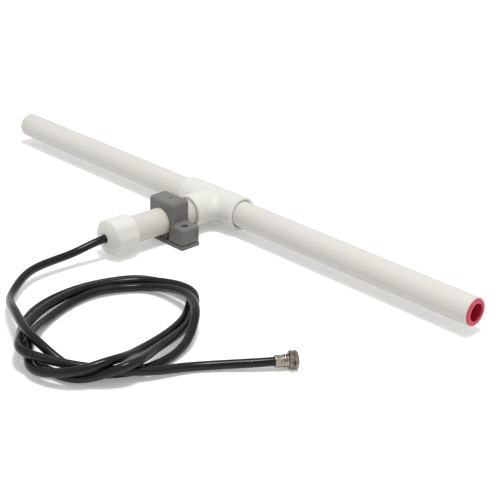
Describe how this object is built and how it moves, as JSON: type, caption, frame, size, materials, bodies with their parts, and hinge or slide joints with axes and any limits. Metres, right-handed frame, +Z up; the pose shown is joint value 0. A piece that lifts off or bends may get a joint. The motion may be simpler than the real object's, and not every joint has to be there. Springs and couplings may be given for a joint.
{
  "type": "dipole antenna",
  "caption": "Pipe-housed dipole aerial: long cross pipe, tee, short stem in a pipe clamp, end cap, and a loose coaxial cable with a screw-on plug.",
  "frame": {"origin": "on the clamp's base plane, straight below the stem axis, 8 mm in front of the clamp's back face", "axes": "+X along the cross pipe towards the clamp's screw lug, -Y along the stem towards the end cap and its cable, +Z up out of the clamp's base plane"},
  "size_m": [0.516, 0.2756, 0.035],
  "materials": {
    "pipe_plastic": "satin",
    "fitting_plastic": "satin",
    "plug_plastic": "satin",
    "clamp_plastic": "matte",
    "element_metal": "drawn",
    "block_plastic": "satin",
    "screw_brass": "machined",
    "copper": "drawn wire",
    "foam": "matte",
    "cable_jacket": "satin",
    "tie_nylon": "satin",
    "nickel": "plated",
    "core_insulation": "satin"
  },
  "bodies": {
    "clamp": {"clamp_base": "clamp_plastic", "clamp_saddle": "clamp_plastic", "coax_cord": "cable_jacket", "crimp_sleeve": "nickel", "connector_body": "nickel", "dielectric": "core_insulation", "centre_pin": "copper"},
    "antenna": {"stem_pipe": "pipe_plastic", "tee_fitting": "fitting_plastic", "pipe_left": "pipe_plastic", "pipe_right": "pipe_plastic", "end_cap": "fitting_plastic", "end_plug_left": "plug_plastic", "end_plug_right": "plug_plastic", "element_rod_left": "element_metal", "element_rod_right": "element_metal", "feed_block": "block_plastic", "terminal_screw_left": "screw_brass", "terminal_screw_right": "screw_brass", "pigtail_core": "copper", "pigtail_braid": "copper", "spacer_left": "foam", "spacer_right": "foam", "inner_coax": "cable_jacket", "cable_tie": "tie_nylon"},
    "nut": {"coupling_nut": "nickel"}
  },
  "joints": [
    {"name": "stem_turn", "type": "hinge", "parent": "clamp", "child": "antenna", "pos_m": [0, 0, 0.017], "axis": [0, 1, 0], "range_deg": [-90, 90]},
    {"name": "nut_spin", "type": "hinge", "parent": "clamp", "child": "nut", "pos_m": [0.2008, -0.0879, 0.0055], "axis": [0.5299, 0.848, 0], "continuous": true}
  ]
}
